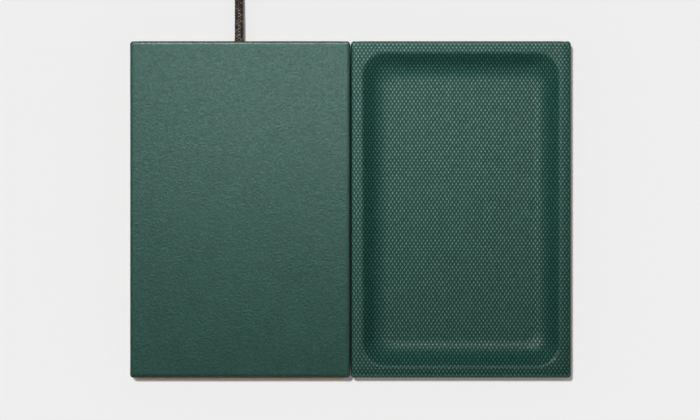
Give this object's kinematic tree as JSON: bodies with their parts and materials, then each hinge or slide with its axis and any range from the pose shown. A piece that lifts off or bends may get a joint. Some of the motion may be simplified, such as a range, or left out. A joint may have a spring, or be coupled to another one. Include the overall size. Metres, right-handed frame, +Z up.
{
  "type": "charging tray",
  "caption": "Leather-wrapped charging tray: a wireless charging module with a captive braided cord beside a matching dished tray module, held together by magnets.",
  "frame": {"origin": "on the table, under the middle of the two modules as they stand side by side", "axes": "+X from the charging module towards the tray module, +Y to the rear where the cord leaves, +Z up"},
  "size_m": [0.2194, 0.2719, 0.016],
  "materials": {
    "leather_smooth": "fine-grained smooth leather, low sheen",
    "leather_embossed": "leather embossed all over with small raised dots",
    "board_tan": "tan leatherboard with a cut edge",
    "suede_tan": "short-napped suede",
    "core_board": "machined fibreboard",
    "housing_plastic": "moulded",
    "carrier_plastic": "moulded",
    "foam": "closed-cell foam sheet",
    "ferrite": "sintered",
    "copper": "enamelled wire",
    "circuit_board": "solder mask",
    "chip_plastic": "moulded",
    "capacitor_ceramic": "ceramic",
    "screw_steel": "zinc plated",
    "magnet_nickel": "nickel plated",
    "grommet_rubber": "moulded",
    "cord_braid": "tight braid, dark brown with lighter flecks",
    "wire_red": "wire insulation",
    "wire_black": "wire insulation",
    "tie_leather": "leather strap",
    "plug_plastic": "moulded, fine texture",
    "plug_steel": "plated",
    "plug_insulator": "moulded"
  },
  "bodies": {
    "charging_module": {"charger_grip_pad": "suede_tan", "charger_base_board": "board_tan", "charger_base_screw_front_left": "screw_steel", "charger_base_screw_front_right": "screw_steel", "charger_base_screw_rear_right": "screw_steel", "charger_base_screw_rear_left": "screw_steel", "charger_leather_cover": "leather_smooth", "charger_foam_pad": "foam", "charger_housing": "housing_plastic", "charger_magnet_front": "magnet_nickel", "charger_magnet_rear": "magnet_nickel", "coil_carrier": "carrier_plastic", "ferrite_disc": "ferrite", "charging_coil": "copper", "coil_lead_inner": "copper", "coil_lead_outer": "copper", "circuit_board": "circuit_board", "power_inductor": "ferrite", "driver_chip": "chip_plastic", "control_chip": "chip_plastic", "resonance_capacitor_front": "capacitor_ceramic", "resonance_capacitor_rear": "capacitor_ceramic", "board_screw_front_left": "screw_steel", "board_screw_front_right": "screw_steel", "board_screw_rear_right": "screw_steel", "board_screw_rear_left": "screw_steel", "cable_grommet": "grommet_rubber", "cord_inner_end": "cord_braid", "cord_clamp": "housing_plastic", "clamp_screw_left": "screw_steel", "clamp_screw_right": "screw_steel", "supply_wire_positive": "wire_red", "supply_wire_negative": "wire_black", "cord_lead": "cord_braid", "cord_coil": "cord_braid", "cord_tail": "cord_braid", "cord_tie": "tie_leather", "plug_body": "plug_plastic", "plug_shell": "plug_steel", "plug_tongue": "plug_insulator"},
    "tray_module": {"tray_grip_pad": "suede_tan", "tray_base_board": "board_tan", "tray_base_screw_front_left": "screw_steel", "tray_base_screw_front_right": "screw_steel", "tray_base_screw_rear_right": "screw_steel", "tray_base_screw_rear_left": "screw_steel", "tray_core": "core_board", "tray_leather_liner": "leather_embossed", "tray_magnet_front": "magnet_nickel", "tray_magnet_rear": "magnet_nickel"}
  },
  "joints": [
    {"name": "tray_detach", "type": "slide", "parent": "charging_module", "child": "tray_module", "axis": [1, 0, 0], "range_m": [0, 0.06]}
  ]
}
